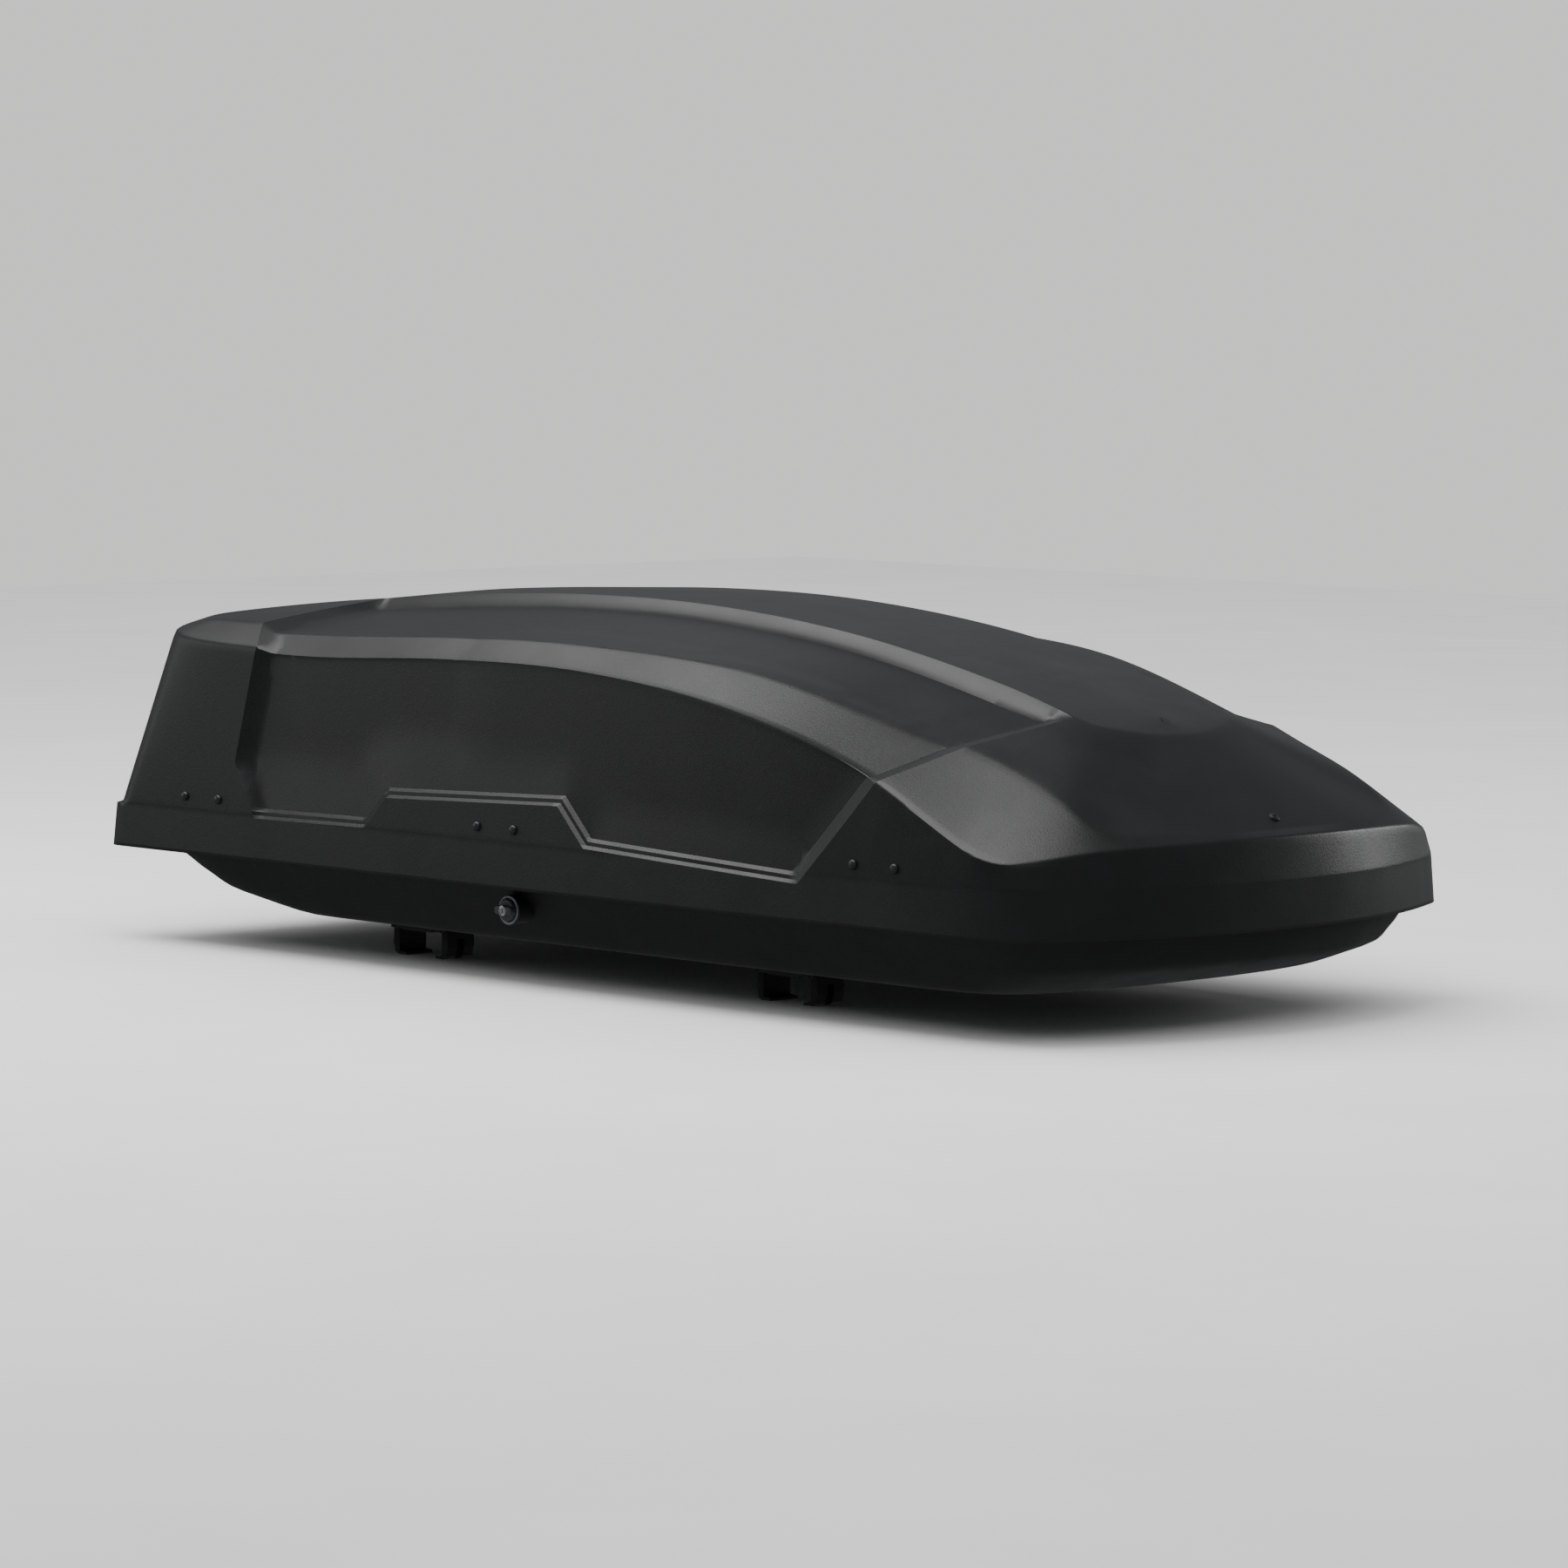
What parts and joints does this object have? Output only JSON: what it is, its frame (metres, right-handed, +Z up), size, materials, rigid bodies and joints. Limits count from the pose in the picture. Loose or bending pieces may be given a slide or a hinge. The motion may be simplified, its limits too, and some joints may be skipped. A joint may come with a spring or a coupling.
{
  "type": "roof cargo box",
  "caption": "Hard-shell roof cargo box with a side-opening lid on gas struts, three-point latch with key lock, and sliding quick-grip clamps for the roof bars.",
  "frame": {"origin": "centre of the bounding box at its lowest level, the toes of the closed clamp jaws", "axes": "+X from tail to nose, +Y from the opening side to the hinge side, +Z up"},
  "size_m": [1.7515, 0.8256, 0.484],
  "materials": {
    "lid_plastic": "thermoformed black ABS sheet, satin with a fine grain",
    "base_plastic": "thermoformed black ABS sheet, matt",
    "clamp_plastic": "moulded glass-filled nylon, matt black",
    "handle_plastic": "moulded dark grey plastic",
    "rubber": "rubber-coated steel, matt black",
    "steel": "zinc plated",
    "aluminium": "mill finish extrusion",
    "strut_paint": "black powder coat",
    "chrome": "polished plated steel"
  },
  "bodies": {
    "base": {"base_tray": "base_plastic", "floor_rail_right": "aluminium", "floor_rail_left": "aluminium", "lock_housing": "clamp_plastic", "hinge_base_leaf_rear": "steel", "hinge_base_leaf_middle": "steel", "hinge_base_leaf_front": "steel", "latch_guide_rear": "clamp_plastic", "latch_guide_middle": "clamp_plastic", "latch_guide_front": "clamp_plastic", "strut_base_bracket_rear": "steel", "strut_base_bracket_front": "steel"},
    "lid": {"lid_shell": "lid_plastic", "nose_plug": "clamp_plastic", "lid_rib_rear": "aluminium", "lid_rib_middle": "aluminium", "lid_rib_front": "aluminium", "hinge_lid_leaf_rear": "steel", "hinge_lid_leaf_middle": "steel", "hinge_lid_leaf_front": "steel", "hinge_pin_rear": "steel", "hinge_pin_middle": "steel", "hinge_pin_front": "steel", "latch_striker_rear": "steel", "latch_striker_middle": "steel", "latch_striker_front": "steel", "strut_lid_bracket_rear": "steel", "strut_lid_bracket_front": "steel"},
    "lock_bar": {"lock_bar": "steel"},
    "turn_handle": {"turn_handle": "handle_plastic"},
    "key_barrel": {"key_barrel": "chrome"},
    "strut_cylinder_rear": {"strut_cylinder_rear": "strut_paint"},
    "strut_rod_rear": {"strut_rod_rear": "chrome"},
    "strut_cylinder_front": {"strut_cylinder_front": "strut_paint"},
    "strut_rod_front": {"strut_rod_front": "chrome"},
    "clamp_rear_right": {"clamp_body_rear_right": "clamp_plastic"},
    "knob_rear_right": {"clamp_knob_rear_right": "handle_plastic"},
    "jaw_front_rear_right": {"clamp_jaw_front_rear_right": "rubber"},
    "jaw_back_rear_right": {"clamp_jaw_back_rear_right": "rubber"},
    "clamp_rear_left": {"clamp_body_rear_left": "clamp_plastic"},
    "knob_rear_left": {"clamp_knob_rear_left": "handle_plastic"},
    "jaw_front_rear_left": {"clamp_jaw_front_rear_left": "rubber"},
    "jaw_back_rear_left": {"clamp_jaw_back_rear_left": "rubber"},
    "clamp_front_right": {"clamp_body_front_right": "clamp_plastic"},
    "knob_front_right": {"clamp_knob_front_right": "handle_plastic"},
    "jaw_front_front_right": {"clamp_jaw_front_front_right": "rubber"},
    "jaw_back_front_right": {"clamp_jaw_back_front_right": "rubber"},
    "clamp_front_left": {"clamp_body_front_left": "clamp_plastic"},
    "knob_front_left": {"clamp_knob_front_left": "handle_plastic"},
    "jaw_front_front_left": {"clamp_jaw_front_front_left": "rubber"},
    "jaw_back_front_left": {"clamp_jaw_back_front_left": "rubber"}
  },
  "joints": [
    {"name": "lid_hinge", "type": "hinge", "parent": "base", "child": "lid", "pos_m": [0, 0.384, 0.138], "axis": [-1, 0, 0], "range_deg": [0, 50]},
    {"name": "strut_tilt_rear", "type": "hinge", "parent": "base", "child": "strut_cylinder_rear", "pos_m": [-0.571, 0.16671, 0.10358], "axis": [-1, 0, 0], "range_deg": [0, 25.05]},
    {"name": "strut_stroke_rear", "type": "slide", "parent": "strut_cylinder_rear", "child": "strut_rod_rear", "axis": [0, 0.3746, 0.9272], "range_m": [0, 0.1385]},
    {"name": "strut_tilt_front", "type": "hinge", "parent": "base", "child": "strut_cylinder_front", "pos_m": [0.429, 0.16671, 0.10358], "axis": [-1, 0, 0], "range_deg": [0, 25.05]},
    {"name": "strut_stroke_front", "type": "slide", "parent": "strut_cylinder_front", "child": "strut_rod_front", "axis": [0, 0.3746, 0.9272], "range_m": [0, 0.1385]},
    {"name": "lock_slide", "type": "slide", "parent": "base", "child": "lock_bar", "axis": [1, 0, 0], "range_m": [0, 0.03]},
    {"name": "handle_turn", "type": "hinge", "parent": "base", "child": "turn_handle", "pos_m": [-0.112, -0.375, 0.094], "axis": [0, 1, 0], "range_deg": [0, 60.05]},
    {"name": "key_turn", "type": "hinge", "parent": "turn_handle", "child": "key_barrel", "pos_m": [-0.112, -0.38, 0.094], "axis": [0, 1, 0], "range_deg": [0, 90]},
    {"name": "clamp_slide_rear_right", "type": "slide", "parent": "base", "child": "clamp_rear_right", "axis": [1, 0, 0], "range_m": [-0.08, 0.08]},
    {"name": "knob_turn_rear_right", "type": "hinge", "parent": "clamp_rear_right", "child": "knob_rear_right", "pos_m": [-0.419, -0.23, 0.101], "axis": [0, 0, 1], "range_deg": [0, 720]},
    {"name": "jaw_swing_front_rear_right", "type": "hinge", "parent": "clamp_rear_right", "child": "jaw_front_rear_right", "pos_m": [-0.373, -0.23, 0.0396], "axis": [0, -1, 0], "range_deg": [0, 30.05]},
    {"name": "jaw_swing_back_rear_right", "type": "hinge", "parent": "clamp_rear_right", "child": "jaw_back_rear_right", "pos_m": [-0.465, -0.23, 0.0396], "axis": [0, 1, 0], "range_deg": [0, 30.05]},
    {"name": "clamp_slide_rear_left", "type": "slide", "parent": "base", "child": "clamp_rear_left", "axis": [1, 0, 0], "range_m": [-0.08, 0.08]},
    {"name": "knob_turn_rear_left", "type": "hinge", "parent": "clamp_rear_left", "child": "knob_rear_left", "pos_m": [-0.419, 0.23, 0.101], "axis": [0, 0, 1], "range_deg": [0, 720]},
    {"name": "jaw_swing_front_rear_left", "type": "hinge", "parent": "clamp_rear_left", "child": "jaw_front_rear_left", "pos_m": [-0.373, 0.23, 0.0396], "axis": [0, -1, 0], "range_deg": [0, 30.05]},
    {"name": "jaw_swing_back_rear_left", "type": "hinge", "parent": "clamp_rear_left", "child": "jaw_back_rear_left", "pos_m": [-0.465, 0.23, 0.0396], "axis": [0, 1, 0], "range_deg": [0, 30.05]},
    {"name": "clamp_slide_front_right", "type": "slide", "parent": "base", "child": "clamp_front_right", "axis": [1, 0, 0], "range_m": [-0.08, 0.08]},
    {"name": "knob_turn_front_right", "type": "hinge", "parent": "clamp_front_right", "child": "knob_front_right", "pos_m": [0.263, -0.23, 0.101], "axis": [0, 0, 1], "range_deg": [0, 720]},
    {"name": "jaw_swing_front_front_right", "type": "hinge", "parent": "clamp_front_right", "child": "jaw_front_front_right", "pos_m": [0.309, -0.23, 0.0396], "axis": [0, -1, 0], "range_deg": [0, 30.05]},
    {"name": "jaw_swing_back_front_right", "type": "hinge", "parent": "clamp_front_right", "child": "jaw_back_front_right", "pos_m": [0.217, -0.23, 0.0396], "axis": [0, 1, 0], "range_deg": [0, 30.05]},
    {"name": "clamp_slide_front_left", "type": "slide", "parent": "base", "child": "clamp_front_left", "axis": [1, 0, 0], "range_m": [-0.08, 0.08]},
    {"name": "knob_turn_front_left", "type": "hinge", "parent": "clamp_front_left", "child": "knob_front_left", "pos_m": [0.263, 0.23, 0.101], "axis": [0, 0, 1], "range_deg": [0, 720]},
    {"name": "jaw_swing_front_front_left", "type": "hinge", "parent": "clamp_front_left", "child": "jaw_front_front_left", "pos_m": [0.309, 0.23, 0.0396], "axis": [0, -1, 0], "range_deg": [0, 30.05]},
    {"name": "jaw_swing_back_front_left", "type": "hinge", "parent": "clamp_front_left", "child": "jaw_back_front_left", "pos_m": [0.217, 0.23, 0.0396], "axis": [0, 1, 0], "range_deg": [0, 30.05]}
  ],
  "couplings": [
    {"joint": "strut_tilt_rear", "follows": "lid_hinge", "ratio": 0.5},
    {"joint": "strut_stroke_rear", "follows": "lid_hinge", "m_per_rad": 0.15832},
    {"joint": "strut_tilt_front", "follows": "lid_hinge", "ratio": 0.5},
    {"joint": "strut_stroke_front", "follows": "lid_hinge", "m_per_rad": 0.15832},
    {"joint": "handle_turn", "follows": "lock_slide", "rad_per_m": 34.907},
    {"joint": "jaw_swing_front_rear_right", "follows": "knob_turn_rear_right", "ratio": 0.041667},
    {"joint": "jaw_swing_back_rear_right", "follows": "knob_turn_rear_right", "ratio": 0.041667},
    {"joint": "jaw_swing_front_rear_left", "follows": "knob_turn_rear_left", "ratio": 0.041667},
    {"joint": "jaw_swing_back_rear_left", "follows": "knob_turn_rear_left", "ratio": 0.041667},
    {"joint": "jaw_swing_front_front_right", "follows": "knob_turn_front_right", "ratio": 0.041667},
    {"joint": "jaw_swing_back_front_right", "follows": "knob_turn_front_right", "ratio": 0.041667},
    {"joint": "jaw_swing_front_front_left", "follows": "knob_turn_front_left", "ratio": 0.041667},
    {"joint": "jaw_swing_back_front_left", "follows": "knob_turn_front_left", "ratio": 0.041667}
  ]
}
